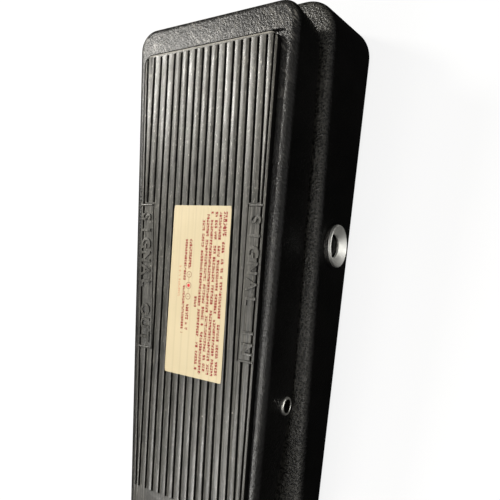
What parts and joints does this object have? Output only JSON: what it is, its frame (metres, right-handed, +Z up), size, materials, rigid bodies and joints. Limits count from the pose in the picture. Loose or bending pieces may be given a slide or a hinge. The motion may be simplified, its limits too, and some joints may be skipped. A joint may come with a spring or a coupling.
{
  "type": "rocker foot pedal",
  "caption": "Wedge-shaped cast foot pedal whose ribbed rocking treadle turns a pot through a rack and pinion; round jack sockets in both side walls.",
  "frame": {"origin": "centre of the bounding box in plan, on the floor plane under the feet", "axes": "+X to the player's right, +Y towards the toe end, +Z up"},
  "size_m": [0.1012, 0.2586, 0.0685],
  "materials": {
    "black_casting": "black wrinkle powder coat on a die casting",
    "plate_steel": "black painted sheet steel",
    "black_plastic": "moulded, matt",
    "ribbed_rubber": "ribbed, worn to a dull olive grey on the rib tops",
    "label_film": "cream printed film",
    "rubber": "matt black",
    "steel": "zinc plated",
    "nylon": "natural nylon",
    "brass": "machined",
    "nickel": "satin nickel plate",
    "battery_case": "plain printed can",
    "board_green": "solder mask",
    "red_plastic": "moulded",
    "blue_plastic": "sleeve",
    "amber_plastic": "dipped",
    "lead_insulation": "hook-up wire insulation in several colours"
  },
  "bodies": {
    "base": {"base_casting": "black_casting", "bottom_plate": "plate_steel", "battery_door": "black_plastic", "foot_1": "rubber", "foot_2": "rubber", "foot_3": "rubber", "foot_4": "rubber", "heel_stop_left": "rubber", "heel_stop_right": "rubber", "toe_stop_left": "rubber", "toe_stop_right": "rubber", "foot_screw_1": "steel", "foot_screw_2": "steel", "foot_screw_3": "steel", "foot_screw_4": "steel", "clamp_screw_1": "steel", "clamp_screw_2": "steel", "friction_clamp": "steel", "pot_body": "steel", "pot_bracket": "steel", "switch_washer": "steel", "pivot_bush_left": "nylon", "pivot_bush_right": "nylon", "friction_block": "nylon", "rack_guide": "nylon", "pot_nut": "nickel", "switch_nut": "nickel", "input_jack_ring": "nickel", "output_jack_ring": "nickel", "dc_jack_nut": "nickel", "switch_body": "black_plastic", "input_jack_body": "black_plastic", "output_jack_body": "black_plastic", "dc_jack_body": "black_plastic", "battery_snap": "black_plastic", "transistor_1": "black_plastic", "transistor_2": "black_plastic", "battery": "battery_case", "circuit_board": "board_green", "inductor": "red_plastic", "capacitor_electrolytic": "blue_plastic", "capacitor_film_1": "amber_plastic", "capacitor_film_2": "amber_plastic", "battery_lead_red": "lead_insulation", "battery_lead_black": "lead_insulation", "input_lead": "lead_insulation", "output_lead": "lead_insulation", "pot_lead": "lead_insulation", "switch_lead": "lead_insulation"},
    "treadle_body": {"treadle": "black_casting", "tread_pad": "ribbed_rubber", "label": "label_film", "pivot_shaft": "steel", "rack_link": "steel", "toe_bumper": "rubber"},
    "rack_body": {"gear_rack": "brass"},
    "pot_rotor": {"pinion": "brass", "pot_shaft": "steel"},
    "switch_button": {"switch_plunger": "steel"}
  },
  "joints": [
    {"name": "treadle_rock", "type": "hinge", "parent": "base", "child": "treadle_body", "pos_m": [0, -0.0576, 0.0342], "axis": [1, 0, 0], "range_deg": [0, 12]},
    {"name": "rack_slide", "type": "slide", "parent": "base", "child": "rack_body", "axis": [0, 0, 1], "range_m": [0, 0.0092]},
    {"name": "pot_turn", "type": "hinge", "parent": "base", "child": "pot_rotor", "pos_m": [0, -0.0057, 0.0195], "axis": [1, 0, 0], "range_deg": [-84, 0]},
    {"name": "switch_press", "type": "slide", "parent": "base", "child": "switch_button", "axis": [0, -0.0958, 0.9954], "range_m": [-0.002, 0], "stiffness_N_per_m": 600, "springref_m": 0.003}
  ],
  "couplings": [
    {"joint": "rack_slide", "follows": "treadle_rock", "m_per_rad": 0.043252},
    {"joint": "pot_turn", "follows": "treadle_rock", "ratio": -6.8655}
  ]
}
